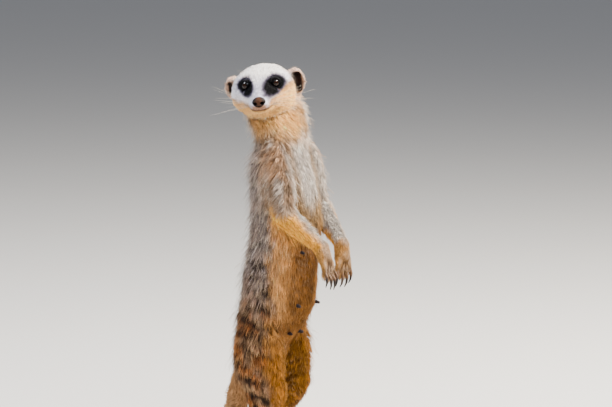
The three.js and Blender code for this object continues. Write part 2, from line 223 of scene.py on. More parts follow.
def paint(mesh, colours):
    """Stores a linear colour for each vertex."""
    rgba = np.ones((len(mesh.vertices), 4), np.float32)
    rgba[:, :3] = np.clip(colours, 0, 1)
    layer = mesh.color_attributes.new("markings", "FLOAT_COLOR", "POINT")
    layer.data.foreach_set("color", rgba.ravel())
    mesh.color_attributes.active_color = layer


def place(made, material, slot, *nodes):
    """Puts a finished piece on the animal in place of those nodes."""
    made.data.materials.clear()
    made.data.materials.append(material)
    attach(made, "root")
    if nodes:
        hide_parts(*nodes)
    return made


# ---- the head's own frame ----

EYES_AHEAD = 18.8  # the eyes' middle lies this far in front of the head's origin and above it, in millimetres
EYES_ABOVE = 5.2
NOSE_AHEAD = 27.7  # and the nose this far in front of the eyes and below them
NOSE_BELOW = 7.6
EYES_MIDDLE = (centre("eye_left") + centre("eye_right")) / 2
HEAD_LEFT = unit(centre("eye_left") - centre("eye_right"))
TO_NOSE = centre("nose") - EYES_MIDDLE
TO_NOSE = TO_NOSE - HEAD_LEFT * (TO_NOSE @ HEAD_LEFT)
HEAD_FRONT = unit(TO_NOSE * NOSE_AHEAD + np.cross(TO_NOSE, HEAD_LEFT) * NOSE_BELOW)
HEAD_UP = np.cross(HEAD_FRONT, HEAD_LEFT)
HEAD_AXES = np.stack([HEAD_LEFT, HEAD_FRONT, HEAD_UP])
HEAD_AT = EYES_MIDDLE - (HEAD_FRONT * EYES_AHEAD + HEAD_UP * EYES_ABOVE) * MM


def to_head(points):
    """Left, front and up in the head's frame, in millimetres."""
    return (points - HEAD_AT) @ HEAD_AXES.T / MM


def from_head(local):
    return np.asarray(local) * MM @ HEAD_AXES + HEAD_AT


NOSE = to_head(centre("nose"))
NOSE_SIZE = (5.8, 4.4, 4.4)
EYES = {side: to_head(centre(f"eye_{name}")) for name, side in (("left", 1), ("right", -1))}
SIGHT_RISE = 0.12


def from_eyes(local):
    """How far off the nearer eye's centre is, in millimetres."""
    return np.min([lengths(local - at) for at in EYES.values()], axis=0)


def eye_axes(side):
    """Outwards, along the sight and upwards, for one eye, in the head's frame."""
    turn = math.radians(EYE_OUT)
    sight = unit(np.array((side * math.sin(turn), math.cos(turn), SIGHT_RISE)))
    out = unit(np.cross(np.array((0, 0, side)), sight) * -1)
    return out, sight, np.cross(sight, out) * -side


# ---- skin ----

# For each kind of node: depth of the coat over the skin, length and half width of a tuft in millimetres,
# tufts in a square millimetre relative to the others, how untidy they lie, how far they lean together,
# and how much the skin is smoothed.
COLUMNS = ("depth", "length", "wide", "dense", "untidy", "clumpy", "smooth")
STYLES = {
    "head": (1.6, 3.4, 0.19, 2.6, 0.10, 0.20, 0.35),
    "ear": (0.5, 3.4, 0.17, 3.0, 0.20, 0.20, 0.12),
    "neck": (3.4, 8.0, 0.22, 1.7, 0.16, 0.30, 1.0),
    "trunk": (4.2, 11.0, 0.26, 1.15, 0.17, 0.42, 1.0),
    "upper_arm": (3.4, 9.0, 0.25, 1.3, 0.15, 0.40, 1.0),
    "forearm": (1.8, 5.0, 0.24, 1.7, 0.12, 0.35, 0.8),
    "hand": (0.7, 2.4, 0.18, 2.6, 0.12, 0.20, 0.15),
    "thigh": (3.8, 10.0, 0.27, 1.15, 0.17, 0.42, 1.0),
    "shank": (2.2, 7.0, 0.25, 1.4, 0.13, 0.40, 0.8),
    "foot": (0.7, 2.6, 0.20, 2.2, 0.12, 0.20, 0.2),
    "tail": (2.2, 6.5, 0.27, 1.4, 0.14, 0.40, 0.8),
}
KINDS = list(STYLES)
GRIZZLED = ("trunk", "thigh", "upper_arm", "shank")
# The coat of each node runs towards the next node in its row.
RUNS = (
    ("neck", "trunk"),
    ("tail_1", "tail_2", "tail_3", "tail_4"),
    ("upper_arm_{}", "forearm_{}", "hand_{}", "fore_claw_{}_2"),
    ("thigh_{}", "shank_{}", "foot_{}", "hind_claw_{}_2"),
)
RUNS_TO = {
    node.format(name): following.format(name)
    for name in ("left", "right")
    for row in RUNS
    for node, following in zip(row, row[1:])
}


def inward(points, normals):
    """How much the surface faces the animal's middle plane, from -1 to 1."""
    return -normals[:, 0] * np.sign(points[:, 0])


def kind_of(node):
    return next(kind for kind in KINDS if node.startswith(kind))


def grown_copy(node, by):
    """A node's mesh with its vertices merged and moved out along their normals."""
    bm = bmesh.new()
    bm.from_mesh(frame["nodes"][node].data)
    bmesh.ops.remove_doubles(bm, verts=bm.verts, dist=1e-6)
    bm.normal_update()
    for vert in bm.verts:
        vert.co += vert.normal * by
    return mesh_of(bm, node)


def remeshed(meshes, voxel, name):
    """The meshes as one closed surface on a grid."""
    bm = bmesh.new()
    for mesh in meshes:
        bm.from_mesh(mesh)
        bpy.data.meshes.remove(mesh)
    joined = mesh_of(bm, name)
    made = new_object(name, joined)
    grid = made.modifiers.new("grid", "REMESH")
    grid.mode = "VOXEL"
    grid.voxel_size = voxel
    grid.adaptivity = 0
    mesh = bpy.data.meshes.new_from_object(made.evaluated_get(bpy.context.evaluated_depsgraph_get()))
    bpy.data.objects.remove(made)
    bpy.data.meshes.remove(joined)
    mesh.name = name
    return mesh


def tree_of(points):
    tree = KDTree(len(points))
    for index, point in enumerate(points):
        tree.insert(point, index)
    tree.balance()
    return tree


def nearest_in(tree, points):
    return np.array([tree.find(point)[1] for point in points])


def distance_to(tree, points):
    return np.array([tree.find(point)[2] for point in points])


def arrays_of(mesh):
    """Vertices, edges, triangles and each triangle's loops."""
    mesh.calc_loop_triangles()
    return (
        read(mesh.vertices, "co", 3),
        read(mesh.edges, "vertices", 2, np.int32),
        read(mesh.loop_triangles, "vertices", 3, np.int32),
        read(mesh.loop_triangles, "loops", 3, np.int32),
    )


def normals_of(co, tris):
    cross = np.cross(co[tris[:, 1]] - co[tris[:, 0]], co[tris[:, 2]] - co[tris[:, 0]])
    total = np.zeros_like(co)
    for corner in range(3):
        for axis in range(3):
            total[:, axis] += np.bincount(tris[:, corner], cross[:, axis], len(co))
    return unit(total)


def smoothed(values, edges, rounds, weight=1.0):
    """Values moved towards their neighbours' mean, round after round."""
    values = np.array(values, float)
    flat = values.reshape(len(values), -1)
    a, b = edges.T
    count = np.maximum(np.bincount(a, minlength=len(flat)) + np.bincount(b, minlength=len(flat)), 1)
    share = 0.5 * np.broadcast_to(weight, len(flat))
    for _ in range(rounds):
        for column in flat.T:
            near = np.bincount(a, column[b], len(flat)) + np.bincount(b, column[a], len(flat))
            column += share * (near / count - column)
    return values


def nearest_nodes(points):
    """The index in FLESH of the solid that each point lies nearest to."""
    steps = np.array([(i, j, 4 - i - j) for i in range(5) for j in range(5 - i)]) / 4
    clouds, labels = [], []
    for label, node in enumerate(FLESH):
        co, _, tris, _ = arrays_of(frame["nodes"][node].data)
        clouds.append(np.einsum("sk,tkc->tsc", steps, co[tris]).reshape(-1, 3))
        labels.append(np.full(len(clouds[-1]), label))
    return np.concatenate(labels)[nearest_in(tree_of(np.concatenate(clouds)), points)]


ARM_AT = (centre("upper_arm_left")[1] + centre("upper_arm_right")[1]) / 2
FOREARMS = tree_of(points_of("forearm_left", "forearm_right"))


def bridged(points):
    """How fully grooves fill in, from 0 to 1; not on the face or near the forearms."""
    behind, height = points[:, 1] - ARM_AT, points[:, 2]
    high = ramp(height, 0.195, 0.222)
    front_of_arm = 0.65 * ramp(behind, 4 * MM, -6 * MM) * ramp(height, 0.27, 0.255)
    hips = 0.8 * ramp(height, 0.1, 0.125)
    local = to_head(points)
    ahead, up = local[:, 1], local[:, 2]
    jaw = np.maximum(ramp(up, -5, -13) * ramp(ahead, 40, 28), ramp(ahead, -8, -16))
    face = np.where(lengths(local * (1, 0.8, 1)) < 42, jaw, 1)
    off_forearm = ramp(distance_to(FOREARMS, points), 2 * MM, 12 * MM)
    return np.maximum(hips, high * (1 - front_of_arm)) * face * off_forearm


def fill_grooves(co, normals, tris):
    """Points moved out of grooves on to a surface that a ball of the bridging radius could roll over."""
    grown = mesh_from("grown", co + normals * BRIDGE, tris)
    outer = arrays_of(remeshed([grown], BRIDGE_VOXEL, "outer"))[0]
    away = outer[nearest_in(tree_of(outer), co)] - co
    far = lengths(away)
    share = (1 - BRIDGE / np.maximum(far, BRIDGE)) * bridged(co)
    return co + away * share[:, None], share


def refine_face(mesh):
    """Halves the grid where the face needs it."""
    bm = bmesh.new()
    bm.from_mesh(mesh)
    bm.faces.ensure_lookup_table()
    mids = to_head(np.array([face.calc_center_median() for face in bm.faces]))
    left, front, up = mids.T
    fine = (front > 9) & (front < 60) & (np.abs(left) < 24) & (np.abs(up) < 26)
    faces = [bm.faces[i] for i in np.flatnonzero(fine)]
    edges = list({edge for face in faces for edge in face.edges})
    bmesh.ops.subdivide_edges(bm, edges=edges, cuts=1, use_grid_fill=True)
    bm.to_mesh(mesh)
    bm.free()


def seen_from_eye(local, side):
    """From one ball's centre: distance, direction, share ahead, and how far out of the lids' opening."""
    out, sight, up = eye_axes(side)
    offset = local - EYES[side]
    radius = lengths(offset)
    way = offset / np.maximum(radius, 1e-6)[:, None]
    ahead = way @ sight
    across, above = (np.degrees(np.arctan2(way @ axis, np.maximum(ahead, 0.05))) for axis in (out, up))
    opening = (across / LID_WIDE) ** 2 + ((above + 0.06 * across - 3) / LID_TALL) ** 2
    return radius, way, ahead, opening


def shape_lids(local):
    """Moves the skin round each eye: under the ball inside the opening, over it as lids outside."""
    for side, at in EYES.items():
        radius, way, ahead, opening = seen_from_eye(local, side)
        ball = EYE_RADIUS / MM
        lid = ball + LID_THICK / MM
        near = (radius < 2.1 * ball) & (ahead > 0.05)
        over = lid + (np.maximum(radius, lid) - lid) * ramp(opening, 1.22, 3.6)
        target = ball * 0.8 + (over - ball * 0.8) * ramp(opening, 1.0, 1.22)
        local[near] = at + way[near] * target[near, None]
    return local


def eye_opening(local):
    """Where the skin lies inside the opening of either eye's lids."""
    inside = np.zeros(len(local), bool)
    for side in EYES:
        radius, _, ahead, opening = seen_from_eye(local, side)
        inside |= (radius < 1.4 * EYE_RADIUS / MM) & (ahead > 0) & (opening < 1.22)
    return inside


# Each ear's hollow, as its middle and half sizes; the right ear is laid back and shows less of it.
EAR_HOLLOWS = {1: ((28.5, 0.3, -1.5), (8.4, 5.6, 9.0)), -1: ((-27.5, 0.3, -2.3), (8.4, 5.6, 7.4))}


def ear_hollow(local):
    """Under 1 inside the ears' hollows, 1 on their surface and more behind it."""
    return np.min([lengths((local - at) / size) for at, size in EAR_HOLLOWS.values()], axis=0)


MOUTH_LEVEL = -9.2
MOUTH_BACK = 31


def shape_mouth(local, normals):
    """Presses the line of the mouth into the muzzle."""
    left, front, up = local.T
    level = MOUTH_LEVEL + 0.9 * ramp(np.abs(left), 2, 7)
    reach = ramp(front, MOUTH_BACK, MOUTH_BACK + 4)
    depth = 0.8 * reach * np.exp(-(((up - level) / 0.7) ** 2))
    return local - normals @ HEAD_AXES.T * depth[:, None]


CLAW_POINTS = tree_of(points_of(*CLAWS))


class Skin:
    """The animal's one skin, with what the coat needs to know all over it."""

    def __init__(self):
        meshes = [grown_copy(node, SEAM) for node in FLESH]
        meshes += [grown_copy(f"eye_{name}", 0.2 * MM) for name in ("left", "right")]
        meshes.append(grown_copy("nose", -0.5 * MM))
        self.mesh = remeshed(meshes, VOXEL, "skin")
        refine_face(self.mesh)
        self.co, self.edges, self.tris, self.loops = arrays_of(self.mesh)
        nodes = smoothed(np.eye(len(FLESH))[nearest_nodes(self.co)], self.edges, 8)
        self.nodes = nodes / nodes.sum(axis=1, keepdims=True)
        in_kind = np.array([[kind_of(node) == kind for kind in KINDS] for node in FLESH], float)
        self.kinds = self.nodes @ in_kind
        weight = self.style("smooth")
        surface = self.co.copy()
        self.co = smoothed(self.co, self.edges, 26, weight)
        filled, share = fill_grooves(self.co, normals_of(self.co, self.tris), self.tris)
        surface += filled - self.co
        spread = np.minimum(1, 6 * smoothed(share, self.edges, 20))
        self.co = smoothed(filled, self.edges, 30, spread * weight)
        self.normals = normals_of(self.co, self.tris)
        self.co -= self.normals * self.depth()[:, None]
        local = shape_mouth(shape_lids(to_head(self.co)), self.normals)
        self.co = smoothed(from_head(local), self.edges, 1, 0.6)
        self.co[:, 2] = np.maximum(self.co[:, 2], 0.2 * MM)
        self.local = to_head(self.co)
        self.normals = normals_of(self.co, self.tris)
        set_points(self.mesh, self.co)
        # How far the coat has to reach to come out to the solids' surface.
        self.reach = smoothed(np.sum((surface - self.co) * self.normals, axis=1), self.edges, 4)
        # Neighbouring colours run into each other over some millimetres, but not on the face.
        face = self.share("head") * ramp(self.local[:, 1], -6, 6) + self.share("ear")
        self.zones = smoothed(self.kinds, self.edges, 60, 1 - 0.9 * face)
        self.zones /= self.zones.sum(axis=1, keepdims=True)
        self.lie_of_coat()
        self.coat_sizes()

    def style(self, column):
        return self.kinds @ np.array([STYLES[kind][COLUMNS.index(column)] for kind in KINDS])

    def share(self, *kinds):
        return sum(self.kinds[:, KINDS.index(kind)] for kind in kinds)

    def depth(self):
        """How deep the coat is: least on the muzzle, and thin on the belly."""
        deep = self.style("depth")
        deep = deep * (1 - 0.7 * self.share("head") * ramp(to_head(self.co)[:, 1], 12, 34))
        deep = deep * (1 - 0.5 * self.share("trunk") * ramp(frontness(self.co), 0.35, 0.85))
        return deep * MM

    def lie_of_coat(self):
        """The way the coat lies, along the skin."""
        head, ear, arm, neck = (self.share(kind)[:, None] for kind in ("head", "ear", "upper_arm", "neck"))
        down = np.array((0.0, 0.0, -1.0))
        tail_end = unit(centre("tail_4") - centre("tail_3"))
        ways = {node: unit(centre(RUNS_TO[node]) - centre(node)) for node in FLESH if node in RUNS_TO}
        way = self.nodes @ np.array([{**ways, "tail_4": tail_end}.get(node, down) for node in FLESH])
        # It turns round the twisted neck, and sweeps back over the shoulders.
        shoulder = self.share("upper_arm") + 0.35 * self.share("trunk") * ramp(self.co[:, 2], 0.2, 0.24)
        sweep = (shoulder * ramp(-self.normals[:, 1], 1.0, 0.7))[:, None]
        way = way * (1 - 0.6 * arm) + down * 0.5 * arm
        way = way + np.cross((0, 0, 1), self.normals) * 0.7 * neck + np.array((0, 0.75, 0)) * sweep
        # It lies away from the nose on the face, and away from the hollow on the ears.
        ahead = ramp(self.local[:, 1], -12, 6)[:, None]
        from_nose = unit(self.co - from_head((0, 46, -3)))
        head_way = from_nose * ahead + (down - 0.4 * HEAD_FRONT) * (1 - ahead)
        hollow = np.where(self.local[:, :1] > 0, EAR_HOLLOWS[1][0], EAR_HOLLOWS[-1][0])
        ear_way = unit(self.local - hollow) @ HEAD_AXES - 0.35 * HEAD_FRONT
        way = way * (1 - head - ear) + head_way * head + ear_way * ear
        self.flow = tangent(smoothed(tangent(way, self.normals), self.edges, 6), self.normals)

    def coat_sizes(self):
        """Length, width, density and order of the tufts."""
        head, ear, trunk = self.share("head"), self.share("ear"), self.share("trunk")
        height, front = self.co[:, 2], frontness(self.co)
        ahead, up = self.local[:, 1], self.local[:, 2]
        back = ramp(front, 0.4, -0.3) * trunk
        belly = ramp(front, 0.55, 0.9) * trunk * ramp(height, 0.2, 0.17)
        inner = self.share("thigh", "shank") * ramp(inward(self.co, self.normals), 0.0, 0.5)
        thin = np.maximum(belly, inner)
        muzzle = head * ramp(ahead, 6, 34)
        by_nose = lengths((self.local - NOSE) / NOSE_SIZE)
        close = np.maximum(ramp(from_eyes(self.local), 11, 6.5), ramp(by_nose, 1.9, 1.1))
        in_ear = ear_hollow(self.local)
        rim = ear * (0.35 + ramp(in_ear, 0.95, 1.15))
        under_jaw = head * ramp(up, -8, -16) * ramp(ahead, 36, 24)
        shorter = (1 - 0.5 * muzzle) * (1 - 0.45 * close)
        longer = (1 + 0.2 * back - 0.4 * thin) * (1 - ear + rim) * (1 + 0.9 * under_jaw)
        self.length = self.style("length") * longer * shorter * MM
        self.wide = self.style("wide") * (1 - 0.2 * muzzle - 0.2 * thin) * MM
        self.untidy = self.style("untidy") * (1 + 0.6 * back) * (1 - 0.4 * thin)
        self.clumpy = self.style("clumpy") * (1 - 0.6 * thin)
        self.rise = 1 - 0.5 * close
        # The hair of the fingers reaches over the roots of their claws, and that in the ears stands up.
        claw = np.argmin(lengths(self.co[:, None] - TOE_ENDS), axis=1)
        over = CLAW_WAYS[claw] * 5.0 * MM + self.normals * 1.3 * MM
        by_claw = ramp(distance_to(CLAW_POINTS, self.co), 5 * MM, 1.5 * MM)
        self.over_claw = over * (by_claw * self.share("hand"))[:, None]
        self.stand = ear * ramp(in_ear, 0.9, 1.1) * 1.8 * MM
        furry = self.share("neck", "trunk", "upper_arm", "thigh")
        self.wispy = furry * (1 - thin) + 0.5 * self.share("forearm") + 0.6 * self.share("tail")
        mouth = (np.abs(up - MOUTH_LEVEL) < 0.5) & (ahead > MOUTH_BACK + 3)
        bare = eye_opening(self.local) | (by_nose < 1.12) | (height < 0.6 * MM) | mouth
        self.dense = np.where(bare, 0, self.style("dense") * (1 + 0.5 * muzzle) * (1 - 0.35 * belly))


SLAB = 12 * MM


def body_middle():
    """Heights up the body, and its middle and half depth from back to front there."""
    points = points_of("trunk", "neck", "thigh_left", "thigh_right", "shank_left", "shank_right")
    heights = np.linspace(points[:, 2].min() + SLAB, points[:, 2].max() - SLAB, 18)
    slabs = [points[np.abs(points[:, 2] - height) < SLAB, 1] for height in heights]
    ends = np.array([(slab.min(), slab.max()) for slab in slabs])
    return heights, ends.mean(axis=1), np.ptp(ends, axis=1) / 2


HEIGHTS, MIDDLE, HALF = body_middle()


def frontness(points):
    """From -1 at the spine to 1 at the middle of the belly."""
    middle = np.interp(points[:, 2], HEIGHTS, MIDDLE)
    half = np.interp(points[:, 2], HEIGHTS, HALF)
    return (middle - points[:, 1]) / half


# ---- markings ----

BACK = srgb(166, 152, 146)
BACK_LOW = srgb(132, 100, 76)
RUFOUS = srgb(160, 92, 36)
BAND = srgb(38, 26, 22)
SHOULDER = srgb(160, 130, 104)
SHOULDER_RUST = srgb(208, 154, 108)
CHEST = srgb(226, 214, 204)
FLANK = srgb(222, 160, 92)
# Belly tan, darkened to its colour in shade: painted shade.
SHADED_BELLY = srgb(134, 86, 32)
BREAST = srgb(168, 134, 90)
# Ochre of the inner legs, darkened by painted shade between them.
SHADED_INNER_LEG = srgb(136, 88, 16)
LEG = srgb(158, 100, 26)
THROAT = srgb(252, 194, 118)
# Pale nape fur; down the back of the neck it also carries painted sunlight.
NAPE = srgb(250, 232, 216)
# The face's white carries a slight painted blue of open shade.
FACE = srgb(242, 238, 248)
# Painted grey shade over the brow and between the eyes.
BROW_SHADE = srgb(196, 192, 212)
CROWN = srgb(255, 249, 246)
CHEEK = srgb(200, 146, 92)
EYE_PATCH = srgb(4, 4, 8)
PATCH_EDGE = srgb(104, 98, 118)
MOUTH = srgb(66, 40, 26)
LIP = srgb(170, 116, 64)
EAR_DARK = srgb(44, 28, 24)
EAR_RIM = srgb(222, 188, 166)
ARM_PALE = srgb(204, 196, 188)
# Golden fur under the arms, made bright as a painted warm glow of light bounced from below.
ARM_UNDER_GOLD_AND_GLOW = srgb(255, 182, 64)
PAW = srgb(202, 148, 80)
# Painted shade in the gaps between the toes, and the darker hair over the claws' roots.
TOE_GAP_SHADE_AND_DARK_HAIR = srgb(74, 50, 36)
TAIL_COAT = srgb(198, 148, 98)
TAIL_TIP = srgb(44, 31, 25)
# Pale hair tips as bright as sunlit tips: the real pale band of grizzled hair with a painted highlight.
PALE_TIP = srgb(255, 238, 214)
GOLD_TIP = srgb(240, 186, 116)
IRIS = srgb(46, 22, 8)
IRIS_EDGE = srgb(10, 6, 5)
PUPIL = srgb(4, 3, 3)
EYE_RIM = srgb(8, 6, 6)
# A painted highlight on the top middle of the nose leather.
NOSE_HIGHLIGHT = srgb(70, 42, 26)
NOSE_LEATHER = srgb(26, 16, 12)
# Near black in the nostrils: painted shade of their openings.
NOSTRIL_SHADE = srgb(3, 2, 2)
CLAW_HORN = srgb(26, 19, 17)
CLAW_STREAK = srgb(66, 50, 40)
CLAW_ROOT = srgb(112, 80, 54)
TEAT = srgb(34, 28, 30)
TEAT_PATCH = srgb(66, 46, 40)
WHISKER = srgb(226, 214, 196)

# Heights between which each marking starts, from none to full.
SILVER_AT = (0.19, 0.215)
LOW_BACK_AT = (0.165, 0.1)
RUFOUS_AT = (0.16, 0.095)
BANDS_AT = (0.215, 0.15)
LEG_AT = (0.13, 0.08)
BELLY_UNDER = (0.225, 0.18)
BELLY_OVER = (0.085, 0.1)
BREAST_AT = (0.18, 0.2)
CHEST_AT = (0.202, 0.226)
INNER_LEG_AT = (0.14, 0.112)
THROAT_AT = (0.258, 0.276)
GOLD_AT = (0.176, 0.112)
RUST_HEIGHT = 0.246
BAND_GAP = 12.5 * MM
# How far forward the coat of the back reaches at each height, in frontness.
BACK_EDGE = ((0.09, 0.127, 0.152, 0.2), (0.56, 0.48, 0.26, 0.08))


def band_pattern(points):
    """Broken dark rows across the back, from none at 0 to full at 1."""
    wobble = noise(points, "band wobble") * 6 * MM
    rows = 0.5 + 0.5 * np.cos(2 * np.pi * (points[:, 2] + wobble) / BAND_GAP)
    return ramp(rows, 0.3, 0.7) * (0.1 + 0.9 * ramp(noise(points, "band breaks"), -0.15, 0.2))


def back_edge(points):
    """0 over the back and its bands, 1 in front of them; the edge runs forward on the haunches."""
    uneven = 0.14 * noise(points, "back edge") + 0.16 * noise(points, "back edge hairs")
    return ramp(frontness(points) + uneven - np.interp(points[:, 2], *BACK_EDGE), -0.22, 0.2)


def silver_coat(points):
    """Tan with pale streaks, over the shoulders and upper arms."""
    return mix(SHOULDER, CHEST, 0.5 * ramp(noise(points, "silver"), -0.1, 0.6))


def body_colour(points, normals):
    """The trunk and legs: grey over the back, banded and rufous low down, tan sides, a pale chest, and
    painted shade on the belly and on the inner sides of the legs.
    """
    height = points[:, 2]
    front = frontness(points) + 0.12 * noise(points, "belly edge")
    uneven = height + 7 * MM * noise(points, "breast edge")
    high = ramp(height, *SILVER_AT)
    silver = silver_coat(points)
    rust = ramp(noise(points, "rufous"), -0.2, 0.5)
    mottle = 0.4 * ramp(noise(points, "mottle"), 0.0, 0.55) * ramp(front, 0.3, -0.1)
    strip = ramp(np.abs(points[:, 0]), 17 * MM, 7 * MM)
    inner = ramp(inward(points, normals), 0.0, 0.45)
    back = layered(
        BACK,
        (silver, ramp(front, -0.45, 0.0) * high),
        (BACK_LOW, ramp(height, *LOW_BACK_AT)),
        (RUFOUS, rust * (0.2 + 0.7 * ramp(height, *RUFOUS_AT))),
        (BAND, np.clip(ramp(height, *BANDS_AT) * band_pattern(points) * 0.95 + mottle, 0, 1)),
    )
    sides = layered(
        FLANK,
        (LEG, ramp(height, *LEG_AT)),
        # The belly takes painted shade.
        (SHADED_BELLY, ramp(front, 0.5, 0.85) * ramp(height, *BELLY_UNDER) * ramp(height, *BELLY_OVER)),
        (BREAST, ramp(uneven, *BREAST_AT) * ramp(front, 0.2, 0.6)),
        (silver, high * ramp(front, 0.75, 0.3)),
        (CHEST, ramp(uneven, *CHEST_AT) * ramp(front, 0.5, 0.9) * strip),
    )
    # The sides of the legs that face each other take painted shade.
    inner_leg_shade = inner * ramp(uneven, *INNER_LEG_AT) * ramp(front, -0.7, -0.2)
    return layered(back, (sides, back_edge(points)), (SHADED_INNER_LEG, inner_leg_shade))


# How far the dark patch round each eye reaches from it, in millimetres.
PATCH_OUT = {1: 8.2, -1: 7.6}
PATCH_IN = {1: 7.6, -1: 5.2}
PATCH_UP = 5.4
PATCH_DOWN = {1: 6.6, -1: 5.7}


def eye_patches(local):
    """How dark the patch round either eye is; it narrows downwards."""
    dark = np.zeros(len(local))
    for side, at in EYES.items():
        out = (local[:, 0] - at[0]) * side
        up = local[:, 2] - at[2]
        half = np.where(out > 0, PATCH_OUT[side], PATCH_IN[side]) * (1 - 0.3 * ramp(-up, 1, 9))
        tall = np.where(up > 0, PATCH_UP, PATCH_DOWN[side])
        size = np.hypot(out / half, up / tall)
        ahead = ramp(local[:, 1] - at[1], -9, -4)
        dark = np.maximum(dark, ramp(size, 1.6, 0.62) * ahead)
    return dark


def head_colour(points):
    """A pale face, with a slight painted blue of open shade and painted grey shade on the brow, a brown cheek
    on its left, tan under the jaw, and grey-tan behind.
    """
    local = to_head(points)
    left, front, level = local.T
    aside = np.abs(left)
    up = level + 1.8 * noise(points, "face")
    # Tan rises up the left cheek to the level of the nose, and stays under the jaw on the right: partly tan
    # fur, partly painted warm light on the sunlit left side.
    over_tan = up + 7.5 - 0.68 * np.clip(left - 4, 0, 14)
    off_nose = ramp(front, 50, 40)
    lips = np.exp(-(((level - MOUTH_LEVEL) / (1.2 + 0.9 * ramp(aside, 3, 8))) ** 2))
    chin = ramp(level, MOUTH_LEVEL + 0.5, MOUTH_LEVEL - 1.5) * ramp(front, 26, 36)
    patch = eye_patches(local + 0.5 * noise(points, "eye patch")[:, None])
    return layered(
        FACE,
        (CROWN, ramp(up, 8, 14)),
        # Painted grey shade on the brow.
        (BROW_SHADE, ramp(aside, 9, 3) * ramp(front, 12, 20) * ramp(up, 12, 4) * 0.8),
        (CHEEK, ramp(over_tan, 4, -1) * off_nose),
        (THROAT, ramp(over_tan, 1, -6) * off_nose),
        (LIP, 0.85 * ramp(up, -4.6, -6.6) * ramp(front, 27, 35) * ramp(aside, 8.5, 4.5)),
        (NAPE, ramp(front, 8, -6) * ramp(up, 16, 6)),
        (SHOULDER, 0.85 * ramp(front, -8, -20)),
        (MOUTH, lips * ramp(front, MOUTH_BACK - 6, MOUTH_BACK + 4) * 0.85),
        (THROAT, chin * 0.85),
        (PATCH_EDGE, ramp(patch, 0.0, 0.5)),
        (EYE_PATCH, ramp(patch, 0.28, 0.9)),
    )


def ear_colour(points):
    """Dark inside the shell, pale on its rim and back; the right ear shows a smaller dark slit."""
    local = to_head(points)
    left, up = local[:, 0], local[:, 2]
    slit = ramp(np.abs(-left - 28.2), 2.4, 1.3) * ramp(np.abs(up + 1.6), 6.0, 4.0)
    wide = np.where(left > 0, ramp(left, 33.5, 30.5), slit)
    return mix(EAR_RIM, EAR_DARK, ramp(ear_hollow(local), 1.12, 1.0) * wide)


def neck_colour(points, normals):
    """Tan under the face, silvery behind and towards the shoulders, with a pale strip down the back of the
    neck that is partly pale fur and partly painted sunlight along that edge.
    """
    facing = normals @ unit(HEAD_FRONT * (1, 1, 0)) + 0.25 * noise(points, "neck") - 0.25
    uneven = points[:, 2] + 3 * MM * noise(points, "throat")
    return layered(
        SHOULDER,
        (NAPE, ramp(noise(points, "nape"), -0.2, 0.6)),
        # A pale strip where the neck turns away from the face: pale fur with painted rim sunlight.
        (NAPE, ramp(facing, 0.0, -0.4)),
        (SHOULDER, 0.85 * ramp(facing, -0.55, -1.0)),
        (THROAT, ramp(facing, -0.15, 0.5) * ramp(uneven, *THROAT_AT)),
    )


def upper_arm_colour(points, normals):
    """Silvery tan with a rusty patch outside, pale inside, more so on the left, where the extra paleness is
    painted sunlight, and a golden elbow with a painted warm glow.
    """
    height, back = points[:, 2], normals[:, 1]
    inner = inward(points, normals) - back
    # The left arm is paler on its inner side than the right: pale fur with painted sunlight.
    pale = np.where(points[:, 0] > 0, ramp(inner, 0.1, 0.9), ramp(inner, 0.8, 1.4))
    rust = ramp(np.abs(height - RUST_HEIGHT), 17 * MM, 6 * MM) * ramp(inner, 0.8, 0.1)
    return layered(
        silver_coat(points),
        (CHEST, 0.9 * pale),
        (SHOULDER_RUST, rust * (0.3 + 0.4 * ramp(noise(points, "shoulder"), -0.3, 0.4))),
        (ARM_PALE, 0.7 * ramp(height, 0.216, 0.199) * ramp(-back, 0.2, 0.8)),
        # The golden elbow is golden fur with a painted warm glow.
        (ARM_UNDER_GOLD_AND_GLOW, ramp(height, 0.218, 0.2) * ramp(back, -0.3, 0.3)),
    )


def forearm_colour(points, normals):
    """Pale above and golden below, with a painted warm glow under the arm and painted sunlight on the inner
    side.
    """
    # Sides facing inwards are paler: painted sunlight, which the far forearm shows.
    upward = normals[:, 2] - 0.35 * normals[:, 1] + 0.5 * ramp(inward(points, normals), 0.0, 0.6)
    return mix(ARM_UNDER_GOLD_AND_GLOW, ARM_PALE, ramp(upward + 0.2 * noise(points, "forearm"), 0.2, 1.0))


def toe_lines():
    """For each fore and hind claw: where its toe ends, the way back along the toe and the claw's own way."""
    ends, ways, claw_ways = [], [], []
    for node in CLAWS:
        limb = ("hand_" if node.startswith("fore") else "foot_") + ("left" if "left" in node else "right")
        points = points_of(node)
        ends.append(points[lengths(points - centre(limb)).argmin()])
        ways.append(unit(centre(limb) - ends[-1]))
        claw_ways.append(unit(points.mean(axis=0) - ends[-1]))
    return np.array(ends), np.array(ways), np.array(claw_ways)


TOE_ENDS, TOE_WAYS, CLAW_WAYS = toe_lines()
TOE_LENGTH = 14 * MM


